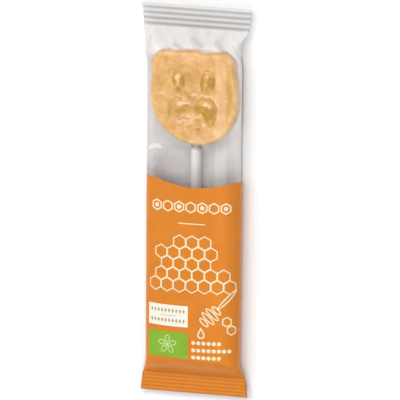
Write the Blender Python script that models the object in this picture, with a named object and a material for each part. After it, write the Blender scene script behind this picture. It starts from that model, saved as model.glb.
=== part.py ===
"""A bear-head honey lollipop sealed in its film sachet, lying on its back.

The sachet is one closed solid, as the film and what it holds. Its width runs along X,
its length along Y with the clear window at +Y, and +Z is up. It rests on Z = 0 with
its middle over the origin. All lengths are in metres.
"""

import math

import bmesh
import bpy

MM = 0.001

# The film tube: cut length and flat width, and how far it stands when filled
LENGTH = 149 * MM
FLAT_WIDTH = 42 * MM
ABOVE_WIDEST = 6.0 * MM
BELOW_WIDEST = 4.5 * MM
TOP_ROUNDNESS = 2.4
BOTTOM_ROUNDNESS = 5.0

# The share of its width that the film loses round the candy, and where this sets in
CANDY_TAKES = 0.011
CANDY_TAKES_OVER = 25 * MM

# The crimped seals across both ends, the length over which the tube fills out, and how
# much of its width the film loses where it gathers into each seal
SEAL_MIDDLE_Z = 2.6 * MM
SEAL_THICKNESS = 0.6 * MM
SEAL_ROUNDNESS = 8.0
WINDOW_SEAL = 8.5 * MM
WINDOW_SEAL_RIDGES = 4
WINDOW_FLARE = 10.0 * MM
WINDOW_GATHER = 0.045
PRINT_SEAL = 7.1 * MM
PRINT_SEAL_RIDGES = 5
PRINT_FLARE = 10.5 * MM
PRINT_GATHER = 0.04
RIDGE_HEIGHT = 0.4 * MM
PLEAT_HEIGHT = 0.45 * MM
PLEAT_SPACING = 8.5 * MM

# The window's seal runs a little askew, lower at the right, and the film below it is
# pushed to the left: slope, sideways push, and where along the tube the push lasts
WINDOW_SLOPE = 0.02
FLARE_PUSH = 0.85 * MM
FLARE_PUSH_FROM = 52.5 * MM
FLARE_PUSH_SETS_IN_OVER = 5.0 * MM
FLARE_PUSH_TO = 68.0 * MM
FLARE_PUSH_ENDS_OVER = 6.5 * MM

# The long back seal, a flat strip that the sachet lies on
BACK_SEAL_WIDTH = 10 * MM
BACK_SEAL_THICKNESS = 0.3 * MM

# The candy's outline as it shows through the window: a face and two low ears
FACE_MIDDLE = (0.35 * MM, 39.8 * MM)
FACE_HALF_WIDTH = 16.8 * MM
FACE_ABOVE = 18.6 * MM
FACE_BELOW = 17.4 * MM
FOREHEAD_ROUNDNESS = 3.0
CHIN_ROUNDNESS = 1.97
FOREHEAD_LEAN = 0.03
CHIN_LEAN = 0.035
CHIN_CURL = 150.0
EARS = (
    (-10.4 * MM, 52.4 * MM, 5.9 * MM),
    (10.0 * MM, 52.0 * MM, 5.9 * MM),
)
CANDY_RELIEF = 0.8 * MM
CANDY_EDGE = 1.3 * MM

# Raised features of the face: middle X and Y, half width, half height, relief
FEATURES = (
    (-5.4 * MM, 46.4 * MM, 2.6 * MM, 4.3 * MM, 0.45 * MM),
    (5.6 * MM, 46.5 * MM, 2.8 * MM, 4.5 * MM, 0.45 * MM),
    (-0.2 * MM, 41.7 * MM, 2.9 * MM, 1.9 * MM, 0.5 * MM),
    (-5.0 * MM, 36.2 * MM, 4.6 * MM, 4.2 * MM, 0.45 * MM),
    (5.2 * MM, 35.8 * MM, 4.4 * MM, 5.0 * MM, 0.45 * MM),
    (-0.6 * MM, 31.6 * MM, 4.6 * MM, 2.1 * MM, 0.35 * MM),
)

# The stick under the film, from the candy to where the print hides it
STICK_X = 0.5 * MM
STICK_RADIUS = 2.0 * MM
STICK_RELIEF = 0.6 * MM
STICK_SHOWS_FROM = 9.0 * MM
STICK_FADES_OVER = 5.0 * MM

# How finely the film is divided
TOP_STEPS = 54
LOWER_SIDE_STEPS = 5
CANDY_STEP = 0.85 * MM
FLARE_STEPS = 7
PRINT_STEPS = 10
STICK_STEPS = 5
RIM_SAMPLES = 48
WIDTH_TRIALS = 40

FILM_COLOUR = (0.76, 0.25, 0.04, 1.0)
FILM_ROUGHNESS = 0.3

HALF_LENGTH = LENGTH / 2
WINDOW_SEAL_Y = HALF_LENGTH - WINDOW_SEAL
PRINT_SEAL_Y = PRINT_SEAL - HALF_LENGTH


def smooth_step(value):
    """Ease from 0 to 1 as value goes from 0 to 1."""
    value = min(max(value, 0.0), 1.0)
    return value * value * (3 - 2 * value)


def fullness(y):
    """Return 0 at and past a seal and 1 where the tube has filled out."""
    above_print_seal = (y - PRINT_SEAL_Y) / PRINT_FLARE
    below_window_seal = (WINDOW_SEAL_Y - y) / WINDOW_FLARE
    nearest = min(max(min(above_print_seal, below_window_seal), 0.0), 1.0)
    return math.sin(nearest * math.pi / 2)


def gathered(y):
    """Return the share of its width that the film has lost to the gathers at y."""
    above_window_seal = y - WINDOW_SEAL_Y
    below_print_seal = PRINT_SEAL_Y - y
    if above_window_seal > 0:
        return WINDOW_GATHER * (1 - above_window_seal / WINDOW_SEAL)
    if below_print_seal > 0:
        return PRINT_GATHER * (1 - below_print_seal / PRINT_SEAL)
    if y > 0:
        near_seal = smooth_step(1 + above_window_seal / WINDOW_FLARE)
        near_candy = smooth_step(y / CANDY_TAKES_OVER) * (1 - near_seal)
        return WINDOW_GATHER * near_seal + CANDY_TAKES * near_candy
    return PRINT_GATHER * smooth_step(1 + below_print_seal / PRINT_FLARE)


def between(seal_value, body_value, share):
    """Blend from a seal's value to the filled body's value."""
    return seal_value + (body_value - seal_value) * share


def rim_height(reach, half_width, height, roundness):
    """Return a rounded half section's height at a distance from its middle."""
    share = min(abs(reach) / half_width, 1.0)
    return height * (1 - share**roundness) ** (1 / roundness)


def half_girth(half_width, height, roundness):
    """Return the length of film round one rounded half of the section."""
    length = 0.0
    last = (-half_width, 0.0)
    for step in range(1, RIM_SAMPLES + 1):
        x = -half_width * math.cos(math.pi * step / RIM_SAMPLES)
        point = (x, rim_height(x, half_width, height, roundness))
        length += math.dist(last, point)
        last = point
    return length


def half_width_for(above, below, top_roundness, bottom_roundness):
    """Find the half width at which the film's girth is what it was when flat."""
    low = FLAT_WIDTH / 4
    high = FLAT_WIDTH / 2
    for _ in range(WIDTH_TRIALS):
        middle = (low + high) / 2
        girth = half_girth(middle, above, top_roundness)
        girth += half_girth(middle, below, bottom_roundness)
        if girth > 2 * FLAT_WIDTH:
            high = middle
        else:
            low = middle
    return low


def ridge_offset(y):
    """Return the crimped seals' zigzag height, 0 outside them."""
    if y >= WINDOW_SEAL_Y:
        turns = (y - WINDOW_SEAL_Y) / WINDOW_SEAL * WINDOW_SEAL_RIDGES
    elif y <= PRINT_SEAL_Y:
        turns = (PRINT_SEAL_Y - y) / PRINT_SEAL * PRINT_SEAL_RIDGES
    else:
        return 0.0
    return -RIDGE_HEIGHT / 2 * math.cos(2 * math.pi * turns)


def depth_in_candy(x, y):
    """Return how far a point lies inside the candy's outline, negative outside."""
    along = y - FACE_MIDDLE[1]
    above, below = max(along, 0.0), max(-along, 0.0)
    lean = CHIN_LEAN * below + CHIN_CURL * below**3 - FOREHEAD_LEAN * above
    across = abs(x - FACE_MIDDLE[0] - lean) / FACE_HALF_WIDTH
    if along > 0:
        power = FOREHEAD_ROUNDNESS
        along /= FACE_ABOVE
    else:
        power = CHIN_ROUNDNESS
        along /= -FACE_BELOW
    depths = [(1 - (across**power + along**power) ** (1 / power)) * FACE_HALF_WIDTH]
    for ear_x, ear_y, ear_radius in EARS:
        depths.append(ear_radius - math.hypot(x - ear_x, y - ear_y))
    return max(depths)


def contents_relief(x, y):
    """Return how far the candy and its stick push the film up at a point."""
    relief = CANDY_RELIEF * smooth_step(depth_in_candy(x, y) / CANDY_EDGE)
    for middle_x, middle_y, half_width, half_height, rise in FEATURES:
        away = ((x - middle_x) / half_width) ** 2 + ((y - middle_y) / half_height) ** 2
        relief += rise * smooth_step(1 - away)
    if y < FACE_MIDDLE[1]:
        shown = smooth_step((y - STICK_SHOWS_FROM) / STICK_FADES_OVER)
        round_top = 1 - ((x - STICK_X) / STICK_RADIUS) ** 2
        relief = max(relief, STICK_RELIEF * shown * smooth_step(round_top))
    return relief


def pleat_offset(x, share):
    """Return the soft gathers that run into a seal, none on the seal or body."""
    wave = math.cos(2 * math.pi * x / PLEAT_SPACING)
    return PLEAT_HEIGHT * wave * math.sin(math.pi * share**2)


def askew(x, y):
    """Move a place by the window seal's slope and the film's push to the left."""
    in_seal = smooth_step(1 + (y - WINDOW_SEAL_Y) / WINDOW_FLARE)
    pushed = smooth_step((y - FLARE_PUSH_FROM) / FLARE_PUSH_SETS_IN_OVER)
    pushed *= smooth_step((FLARE_PUSH_TO - y) / FLARE_PUSH_ENDS_OVER)
    return x - FLARE_PUSH * pushed, y - WINDOW_SLOPE * (x + FLAT_WIDTH / 2) * in_seal


def section(y):
    """Return the closed outline of the sachet across its length at y."""
    share = fullness(y)
    half_seal = SEAL_THICKNESS / 2
    above = between(half_seal, ABOVE_WIDEST, share)
    below = between(half_seal, BELOW_WIDEST, share)
    top_roundness = between(SEAL_ROUNDNESS, TOP_ROUNDNESS, share)
    bottom_roundness = between(SEAL_ROUNDNESS, BOTTOM_ROUNDNESS, share)
    widest_z = between(SEAL_MIDDLE_Z, BACK_SEAL_THICKNESS + BELOW_WIDEST, share)
    widest_z += ridge_offset(y)
    half_width = half_width_for(above, below, top_roundness, bottom_roundness)
    half_width *= 1 - gathered(y)

    outline = []
    for step in range(TOP_STEPS + 1):
        turn = math.pi * (step / TOP_STEPS - 0.5)
        x = half_width * math.sin(turn)
        z = widest_z + rim_height(x, half_width, above, top_roundness)
        steepness = abs(math.sin(turn)) ** 6
        lift = contents_relief(x, y) + pleat_offset(x, share)
        outline.append((x, y, z + lift * (1 - steepness)))

    strip = BACK_SEAL_WIDTH / 2
    strip_turn = math.asin(strip / half_width)
    lower_side = []
    for step in range(1, LOWER_SIDE_STEPS + 1):
        turn = math.pi / 2 + (strip_turn - math.pi / 2) * step / LOWER_SIDE_STEPS
        x = half_width * math.sin(turn)
        z = widest_z - rim_height(x, half_width, below, bottom_roundness)
        lower_side.append((x, y, z))
    strip_z = lower_side[-1][2] - BACK_SEAL_THICKNESS
    if share == 1.0:
        strip_z = 0.0
    lower_side.append((strip, y, strip_z))
    outline += lower_side
    outline += [(-x, y, z) for x, _, z in reversed(lower_side)]
    return [(*askew(x, y), z) for x, y, z in outline]


def spaced(start, end, steps):
    """Return places from start up to, but not at, end."""
    return [start + (end - start) * step / steps for step in range(steps)]


def stations():
    """List the places along Y where the sachet's outline is drawn."""
    flare_end = PRINT_SEAL_Y + PRINT_FLARE
    flare_start = WINDOW_SEAL_Y - WINDOW_FLARE
    candy_low = FACE_MIDDLE[1] - FACE_BELOW - CANDY_STEP
    stick_low = STICK_SHOWS_FROM - STICK_FADES_OVER / 2
    candy_steps = round((flare_start - candy_low) / CANDY_STEP)
    places = spaced(-HALF_LENGTH, PRINT_SEAL_Y, 2 * PRINT_SEAL_RIDGES)
    places += spaced(PRINT_SEAL_Y, flare_end, FLARE_STEPS)
    places += spaced(flare_end, stick_low, PRINT_STEPS)
    places += spaced(stick_low, candy_low, STICK_STEPS)
    places += spaced(candy_low, flare_start, candy_steps)
    places += spaced(flare_start, WINDOW_SEAL_Y, FLARE_STEPS + 1)
    places += spaced(WINDOW_SEAL_Y, HALF_LENGTH, 2 * WINDOW_SEAL_RIDGES)
    places.append(HALF_LENGTH)
    return places


def clear_scene():
    """Remove what the scene holds."""
    for thing in list(bpy.data.objects):
        bpy.data.objects.remove(thing, do_unlink=True)


def film_material():
    """Make the printed film's plain glossy colour."""
    material = bpy.data.materials.new("printed_film")
    material.use_nodes = True
    shader = material.node_tree.nodes["Principled BSDF"]
    shader.inputs["Base Color"].default_value = FILM_COLOUR
    shader.inputs["Roughness"].default_value = FILM_ROUGHNESS
    shader.inputs["Metallic"].default_value = 0.0
    return material


def make_sachet():
    """Loft the sachet through its outlines and close both ends."""
    shape = bmesh.new()
    rings = []
    for y in stations():
        rings.append([shape.verts.new(point) for point in section(y)])
    for ring, following in zip(rings, rings[1:]):
        for index in range(len(ring)):
            after = (index + 1) % len(ring)
            corners = (ring[index], ring[after], following[after], following[index])
            shape.faces.new(corners)
    shape.faces.new(rings[0])
    shape.faces.new(rings[-1])
    bmesh.ops.triangulate(shape, faces=shape.faces[:])
    bmesh.ops.recalc_face_normals(shape, faces=shape.faces[:])

    mesh = bpy.data.meshes.new("sachet")
    shape.to_mesh(mesh)
    shape.free()
    mesh.materials.append(film_material())
    mesh.shade_smooth()
    mesh.set_sharp_from_angle(angle=math.radians(35))
    sachet = bpy.data.objects.new("sachet", mesh)
    bpy.context.scene.collection.objects.link(sachet)
    return sachet


clear_scene()
make_sachet()
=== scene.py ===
"""The looks of a bear-head honey lollipop in its sealed film sachet.

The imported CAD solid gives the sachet's size and place. Here it becomes a clear and
printed film tube with crimped end seals and a folded back seal, the candy and stick
inside it, and the print on its front. Lengths are in millimetres, in the CAD's frame,
and turn into metres where a mesh or a light is made. A place on the film is its girth,
measured round the tube from the middle of the front, and its length along the tube.
"""

import math

import bpy
import numpy as np
from mathutils import Matrix, Vector
from mathutils.geometry import delaunay_2d_cdt


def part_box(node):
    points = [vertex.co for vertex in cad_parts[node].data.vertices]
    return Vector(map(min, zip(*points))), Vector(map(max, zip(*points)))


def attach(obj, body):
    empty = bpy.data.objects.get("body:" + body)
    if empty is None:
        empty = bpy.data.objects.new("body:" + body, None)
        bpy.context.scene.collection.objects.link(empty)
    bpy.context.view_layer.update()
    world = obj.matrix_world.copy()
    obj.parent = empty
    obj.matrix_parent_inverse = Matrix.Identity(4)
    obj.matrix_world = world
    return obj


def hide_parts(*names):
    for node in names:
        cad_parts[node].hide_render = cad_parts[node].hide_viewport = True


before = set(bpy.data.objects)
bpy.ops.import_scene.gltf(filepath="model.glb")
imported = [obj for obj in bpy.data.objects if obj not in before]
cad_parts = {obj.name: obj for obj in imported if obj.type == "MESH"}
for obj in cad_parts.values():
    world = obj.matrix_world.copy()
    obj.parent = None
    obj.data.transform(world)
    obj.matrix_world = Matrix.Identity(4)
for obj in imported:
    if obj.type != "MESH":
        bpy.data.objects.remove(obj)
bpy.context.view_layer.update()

MM = 0.001
BODY = "root"
NODE = "sachet"
low_corner, high_corner = (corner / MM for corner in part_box(NODE))

# The film tube, laid flat and filled, as the CAD solid has it
HALF_LENGTH = (high_corner.y - low_corner.y) / 2
HALF_FLAT = (high_corner.x - low_corner.x) / 2 - 0.02
GIRTH = 4 * HALF_FLAT
ABOVE_WIDEST = 6.0
BELOW_WIDEST = 4.5
TOP_ROUNDNESS = 2.4
BOTTOM_ROUNDNESS = 5.0
FILM_FLOOR = 0.32
CANDY_TAKES = 0.011
CANDY_TAKES_OVER = 25.0

# The crimped end seals, and how much narrower each is where it meets the tube
SEAL_MIDDLE_Z = 2.6
SEAL_HALF_GAP = 0.07
SEAL_ROUNDNESS = 8.0
WINDOW_SEAL = 8.5
WINDOW_FLARE = 10.0
WINDOW_GATHER = 0.045
PRINT_SEAL = 7.1
PRINT_SEAL_RIDGES = 5
PRINT_FLARE = 10.5
PRINT_GATHER = 0.04
WINDOW_RIDGE_HEIGHT = 0.34
WINDOW_RIDGE_START = 0.95
WINDOW_RIDGE_PITCH = 2.0
PRINT_RIDGE_HEIGHT = 0.28
WINDOW_SEAL_Y = HALF_LENGTH - WINDOW_SEAL
PRINT_SEAL_Y = PRINT_SEAL - HALF_LENGTH

# The window's seal runs a little askew, lower at the right, and the film below it is
# pushed to the left: slope, sideways push, and the push's start and end along the tube,
# each with the length that it takes
WINDOW_SLOPE = 0.02
FLARE_PUSH = 0.85
FLARE_PUSH_SETS_IN = (52.5, 5.0)
FLARE_PUSH_ENDS = (68.0, 6.5)

# Where the orange print ends: low in the front's middle, high at the sides, and lowest
# on the back
PRINT_EDGE_Y = 7.3
PRINT_EDGE_RISE = 3.0
PRINT_EDGE_BACK_DROP = 5.0
PRINT_EDGE_LOWEST_U = 1.8
PRINT_EDGE_LEFT_RISE = 1.2
PRINT_EDGE_LEFT_SPAN = 15.0

# The long back seal: a flap folded flat under the back
FLAP_ROOT_X = 5.0
FLAP_EDGE_X = -4.6
FLAP_TOP_Z = 0.24
FLAP_BOTTOM_Z = 0.03

# The candy
FACE_MIDDLE = (0.35, 39.8)
FACE_HALF_WIDTH = 16.8
FACE_ABOVE = 18.6
FACE_BELOW = 17.4
FOREHEAD_ROUNDNESS = 3.0
CHIN_ROUNDNESS = 1.97
FOREHEAD_LEAN = 0.03
CHIN_LEAN = 0.035
CHIN_CURL = 0.00015
EARS = ((-10.4, 52.4, 5.9), (10.0, 52.0, 5.9))
EAR_BLEND = 0.3
NOTCHES = ((-6.9, 59.9, 2.0), (4.2, 60.5, 2.9))
CANDY_MIDDLE_Z = 4.4
CANDY_HALF_THICKNESS = 3.8
CANDY_EDGE = 1.6
CANDY_BACK_EDGE = 3.8
CANDY_EDGE_ROUNDNESS = 2.2

# The stick
STICK_X = 0.1
STICK_RADIUS = 2.05
STICK_NECK = 0.3
STICK_SHOULDER = 2.3
STICK_SHOULDER_Y = 18.9
STICK_TOP_Y = 30.0
STICK_END_Y = -62.0
STICK_Z = 2.6

# The photograph's camera: degrees round to the right and up towards the window end
CAMERA_YAW = 14.10
CAMERA_RISE = 14.02
CAMERA_ROLL = -0.514
CAMERA_DISTANCE = 1119.0
CAMERA_AIM_RIGHT = 1.06
CAMERA_AIM_UP = 0.14
CAMERA_LENS = 270.0


def smooth_step(value):
    """Ease from 0 to 1 as value goes from 0 to 1."""
    value = np.clip(value, 0.0, 1.0)
    return value * value * (3 - 2 * value)


def ease_in(value, start, over):
    """Ease from 0 to 1 as value goes from start to start plus over."""
    return smooth_step((value - start) / over)


def ease_out(value, end, over):
    """Ease from 1 to 0 as value goes from end minus over to end."""
    return smooth_step((end - value) / over)


def direction(degrees):
    """Return the cosine and the sine of an angle in degrees."""
    return math.cos(math.radians(degrees)), math.sin(math.radians(degrees))


def between(first, second, share):
    """Blend from a first value to a second one."""
    return first + (second - first) * share


def rectangle(left, bottom, right, top):
    """Return a rectangle's outline."""
    return [(left, bottom), (right, bottom), (right, top), (left, top)]


# The film's shape

def fullness(y):
    """Return 0 at and past a seal and 1 where the tube has filled out."""
    above_print_seal = (y - PRINT_SEAL_Y) / PRINT_FLARE
    below_window_seal = (WINDOW_SEAL_Y - y) / WINDOW_FLARE
    nearest = min(max(min(above_print_seal, below_window_seal), 0.0), 1.0)
    return math.sin(nearest * math.pi / 2)


def gathered(y):
    """Return the share of its width that the film has lost to the gathers at y."""
    past_window = y - WINDOW_SEAL_Y
    past_print = PRINT_SEAL_Y - y
    if past_window > 0:
        return WINDOW_GATHER * (1 - past_window / WINDOW_SEAL)
    if past_print > 0:
        return PRINT_GATHER * (1 - past_print / PRINT_SEAL)
    if y > 0:
        near_seal = smooth_step(1 + past_window / WINDOW_FLARE)
        near_candy = smooth_step(y / CANDY_TAKES_OVER) * (1 - near_seal)
        return WINDOW_GATHER * near_seal + CANDY_TAKES * near_candy
    return PRINT_GATHER * smooth_step(1 + past_print / PRINT_FLARE)


def ridge_phase(y):
    """Return 0 in the seals' grooves and 1 on top of their ridges."""
    window_turns = (y - WINDOW_SEAL_Y - WINDOW_RIDGE_START) / WINDOW_RIDGE_PITCH
    print_turns = (PRINT_SEAL_Y - y) / PRINT_SEAL * PRINT_SEAL_RIDGES
    turns = np.where(y > 0, window_turns, print_turns)
    return (1 - np.cos(2 * math.pi * turns)) / 2


def askew(x, y):
    """Move a place by the window seal's slope and the film's push to the left."""
    in_seal = smooth_step(1 + (y - WINDOW_SEAL_Y) / WINDOW_FLARE)
    pushed = ease_in(y, *FLARE_PUSH_SETS_IN) * ease_out(y, *FLARE_PUSH_ENDS)
    return x - FLARE_PUSH * pushed, y - WINDOW_SLOPE * (x + HALF_FLAT) * in_seal


LOOP_SAMPLES = 720
LOOP_COLUMNS = 176
LOOP_TURNS = np.linspace(0, 2 * math.pi, LOOP_SAMPLES + 1)


def loop_at(half_width, above, below, top_roundness, bottom_roundness):
    """Return a section's X and Z, from the front's middle round by the right side."""
    x = half_width * np.sin(LOOP_TURNS)
    share = np.minimum(np.abs(x) / half_width, 1.0)
    front = np.cos(LOOP_TURNS) >= 0
    power = np.where(front, top_roundness, bottom_roundness)
    height = np.where(front, above, -below)
    return x, height * (1 - share**power) ** (1 / power)


def loop_length(x, z):
    """Return the running length along a section."""
    steps = np.hypot(np.diff(x), np.diff(z))
    return np.concatenate([[0.0], np.cumsum(steps)])


def film_section(y):
    """Return points at equal steps of film round the tube at y, as X and Z."""
    share = fullness(y)
    seal_shape = (SEAL_HALF_GAP, SEAL_HALF_GAP, SEAL_ROUNDNESS, SEAL_ROUNDNESS)
    full_shape = (ABOVE_WIDEST, BELOW_WIDEST, TOP_ROUNDNESS, BOTTOM_ROUNDNESS)
    shape = [between(seal, full, share) for seal, full in zip(seal_shape, full_shape)]
    low, high = HALF_FLAT / 2, HALF_FLAT
    for _ in range(30):
        half_width = (low + high) / 2
        if loop_length(*loop_at(half_width, *shape))[-1] > GIRTH:
            high = half_width
        else:
            low = half_width
    x, z = loop_at(low * (1 - float(gathered(y))), *shape)
    length = loop_length(x, z)
    wanted = np.linspace(0, length[-1], LOOP_COLUMNS + 1)
    widest_z = between(SEAL_MIDDLE_Z, FILM_FLOOR + BELOW_WIDEST, share)
    ridge_height = WINDOW_RIDGE_HEIGHT if y > 0 else PRINT_RIDGE_HEIGHT
    widest_z += ridge_height * float(ridge_phase(y)) * (share == 0)
    return np.interp(wanted, length, x), np.interp(wanted, length, z) + widest_z


def row_places():
    """List the places along Y where the film's section is worked out."""
    flares = (PRINT_SEAL_Y, PRINT_SEAL_Y + PRINT_FLARE, WINDOW_SEAL_Y - WINDOW_FLARE, WINDOW_SEAL_Y)
    ends = (-HALF_LENGTH, *flares, HALF_LENGTH)
    stretches = zip(ends, ends[1:], (50, 32, 90, 40, 48))
    places = [np.linspace(*stretch, endpoint=False) for stretch in stretches]
    return np.concatenate(places + [[HALF_LENGTH]])


FILM_ROWS = row_places()
FILM_TABLE = np.empty((len(FILM_ROWS), LOOP_COLUMNS + 1, 3))
for row, place in enumerate(FILM_ROWS):
    section_x, FILM_TABLE[row, :, 2] = film_section(place)
    FILM_TABLE[row, :, 0], FILM_TABLE[row, :, 1] = askew(section_x, place)


def table_lookup(table, u, v):
    """Read a film table at girth u and length v."""
    column = (np.asarray(u) / GIRTH % 1.0) * LOOP_COLUMNS
    first = np.minimum(column.astype(int), LOOP_COLUMNS - 1)
    across = (column - first)[..., None]
    v = np.clip(v, FILM_ROWS[0], FILM_ROWS[-1])
    row = np.clip(np.searchsorted(FILM_ROWS, v, side="right") - 1, 0, len(FILM_ROWS) - 2)
    along = ((v - FILM_ROWS[row]) / (FILM_ROWS[row + 1] - FILM_ROWS[row]))[..., None]
    near = between(table[row, first], table[row, first + 1], across)
    far = between(table[row + 1, first], table[row + 1, first + 1], across)
    return between(near, far, along)


def table_normals():
    """Return the film's outward normals at the table's points."""
    around = np.gradient(FILM_TABLE, axis=1)
    around[:, 0] = around[:, -1] = FILM_TABLE[:, 1] - FILM_TABLE[:, -2]
    along = np.gradient(FILM_TABLE, FILM_ROWS, axis=0)
    normals = np.cross(around, along)
    return normals / np.linalg.norm(normals, axis=2, keepdims=True)


FILM_NORMALS = table_normals()

# Facets of crumpled film below the window's seal
FACET_SIZE = (5.2, 4.4)
FACET_SWAY = 0.33
FACET_RISE = 0.2
FACETS_SET_IN = (WINDOW_SEAL_Y - 7.5, 4.0)
FACETS_END = (WINDOW_SEAL_Y, 2.0)
FACET_GRID = (23, 17)
FACET_HEIGHTS = np.random.default_rng(5).uniform(-1, 1, FACET_GRID)
FACET_LIGHT_TONES = np.random.default_rng(8).uniform(0, 1, (*FACET_GRID, 2))


def grid_corners(heights, column, row):
    """Return a repeating grid's values at a cell's corners, along its first row first."""
    columns, rows = heights.shape
    return [
        heights[(column + right) % columns, (row + above) % rows]
        for right, above in ((0, 0), (1, 0), (0, 1), (1, 1))
    ]


def facet_place(u, v):
    """Return the column and row of the facet pair at a place, and how far into it."""
    across = u / FACET_SIZE[0] + FACET_SWAY * np.sin(v * 0.9)
    along = v / FACET_SIZE[1] + FACET_SWAY * np.sin(u * 0.7)
    column, row = np.floor(across).astype(int), np.floor(along).astype(int)
    return column, row, across - column, along - row


def facet_height(u, v):
    """Return from -1 to 1 the height of film crumpled into flat facets."""
    column, row, over, up = facet_place(u, v)
    first, right, above, last = grid_corners(FACET_HEIGHTS, column, row)
    lower = first + over * (right - first) + up * (above - first)
    upper = last + (1 - over) * (above - last) + (1 - up) * (right - last)
    return np.where(over + up < 1, lower, upper)


def facet_painted_light(u, v):
    """Return from 0 to 1 the painted light on each facet, laid on as milkiness."""
    column, row, over, up = facet_place(u, v)
    columns, rows = FACET_GRID
    return FACET_LIGHT_TONES[column % columns, row % rows, (over + up < 1).astype(int)]


# Gathers: start and end as girth and length, rise, and half width
GATHERS = (
    (-18.5, 65.5, -15, 59, 0.09, 1.3), (-13, 65.8, -8.5, 59.5, -0.08, 1.6),
    (-9.5, 65, -5, 59.5, 0.09, 1.3), (-4, 65.8, 0, 59.5, -0.08, 1.7),
    (0.5, 65.5, 3.5, 59.5, 0.09, 1.3), (4, 65.5, 8, 59.5, -0.08, 1.6),
    (8.5, 65.5, 11, 59.5, 0.09, 1.2), (12, 65.8, 15.5, 59.5, -0.08, 1.5),
    (16.5, 65.5, 18, 59, 0.09, 1), (-15, -67.2, -13, -59, 0.2, 1.4),
    (-6, -67.2, -5, -60, -0.2, 1.6), (4, -67.2, 3, -59.5, 0.2, 1.5),
    (13, -67.2, 11.5, -59, -0.2, 1.5),
)

# Dents: middle as girth and length, depth and half widths
DENTS = ((-14.0, 21.0, 0.2, 2.6, 2.2), (-4.6, 13.6, 0.15, 1.0, 0.7))


def crease_height(u, v):
    """Return how far facets, gathers and dents push the film out at a place."""
    below_seal = ease_in(v, *FACETS_SET_IN) * ease_out(v, *FACETS_END)
    height = FACET_RISE * facet_height(u, v) * below_seal
    for u0, v0, u1, v1, rise, width in GATHERS:
        run_u, run_v = u1 - u0, v1 - v0
        length = math.hypot(run_u, run_v)
        along = ((u - u0) * run_u + (v - v0) * run_v) / length**2
        aside = ((u - u0) * run_v - (v - v0) * run_u) / length
        fade = smooth_step(along * 3) * smooth_step((1 - along) * 3)
        height += rise * fade * np.exp(-((aside / width) ** 2))
    for middle_u, middle_v, deep, half_u, half_v in DENTS:
        away = ((u - middle_u) / half_u) ** 2 + ((v - middle_v) / half_v) ** 2
        height -= deep * np.exp(-away)
    return height


def signed_girth(u):
    """Return a girth as measured from the front's middle, negative at the left."""
    return (u + GIRTH / 2) % GIRTH - GIRTH / 2


def on_film(u, v, lift=0.0):
    """Return points on the film's outside at girth u and length v."""
    u, v = np.broadcast_arrays(np.asarray(u, float), np.asarray(v, float))
    normal = table_lookup(FILM_NORMALS, u, v)
    height = crease_height(signed_girth(u), v) + lift
    return table_lookup(FILM_TABLE, u, v) + normal * height[..., None]


def print_edge(u):
    """Return the length at which the orange print ends at girth u."""
    turn = 2 * math.pi * (u - PRINT_EDGE_LOWEST_U) / GIRTH
    side = PRINT_EDGE_RISE * (1 - np.cos(2 * turn)) / 2
    back = PRINT_EDGE_BACK_DROP * ((1 - np.cos(turn)) / 2) ** 2
    from_left = np.abs(signed_girth(u) + GIRTH / 4)
    left = PRINT_EDGE_LEFT_RISE * ease_out(from_left, PRINT_EDGE_LEFT_SPAN, PRINT_EDGE_LEFT_SPAN)
    return PRINT_EDGE_Y + side - back + left


# Making pieces

def add_object(name, data):
    """Put an object with its mesh, light or camera into the scene."""
    made = bpy.data.objects.new(name, data)
    bpy.context.scene.collection.objects.link(made)
    return made


def new_piece(name, points, faces, slot, smooth=True):
    """Make a piece from points in millimetres that rides on the body."""
    mesh = bpy.data.meshes.new(name)
    mesh.from_pydata([tuple(point) for point in np.asarray(points) * MM], [], faces)
    mesh.validate()
    if smooth:
        mesh.shade_smooth()
    mesh.materials.append(MATERIALS[slot])
    piece = add_object(name, mesh)
    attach(piece, BODY)
    return piece


def paint_points(piece, name, values):
    """Store a value of up to three numbers for each point of a piece's mesh."""
    colours = np.ones((len(values), 4), np.float32)
    colours[:, : values.shape[1]] = values
    layer = piece.data.color_attributes.new(name, "FLOAT_COLOR", "POINT")
    layer.data.foreach_set("color", colours.ravel())


def grid_faces(rows, columns, closed=False):
    """List the faces of a grid of points, row by row."""
    faces = []
    span = columns if closed else columns - 1
    for row in range(rows - 1):
        for column in range(span):
            after = (column + 1) % columns
            below, above = row * columns, (row + 1) * columns
            faces.append((below + column, below + after, above + after, above + column))
    return faces


def closed_faces(rows, columns):
    """List the faces of rings of points whose first and last ring are closed."""
    faces = [face[::-1] for face in grid_faces(rows, columns, closed=True)]
    count = rows * columns
    return faces + [tuple(range(columns)), tuple(range(count - 1, count - columns - 1, -1))]


# Materials, with their bumps in metres

FILM_BUMP = 0.00004
CANDY_BUMP = 0.00012


def new_material(name):
    """Make a material and return it with its node tree and main shader."""
    material = bpy.data.materials.new(name)
    material.use_nodes = True
    tree = material.node_tree
    return material, tree, tree.nodes["Principled BSDF"]


def plug(tree, socket, value):
    """Give an input a value, or link an output or a node's first output to it."""
    if isinstance(value, bpy.types.Node):
        value = value.outputs[0]
    if isinstance(value, bpy.types.NodeSocket):
        tree.links.new(value, socket)
    else:
        socket.default_value = value


def set_inputs(tree, node, **values):
    """Plug a node's inputs, each named as the node names it but with _ for a space."""
    for name, value in values.items():
        plug(tree, node.inputs[name.replace("_", " ")], value)


def add_node(tree, kind, *in_order, **by_name):
    """Add a node of a kind and plug its first inputs in order and others by name."""
    node = tree.nodes.new(kind)
    for socket, value in zip(node.inputs, in_order):
        plug(tree, socket, value)
    set_inputs(tree, node, **by_name)
    return node


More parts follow.
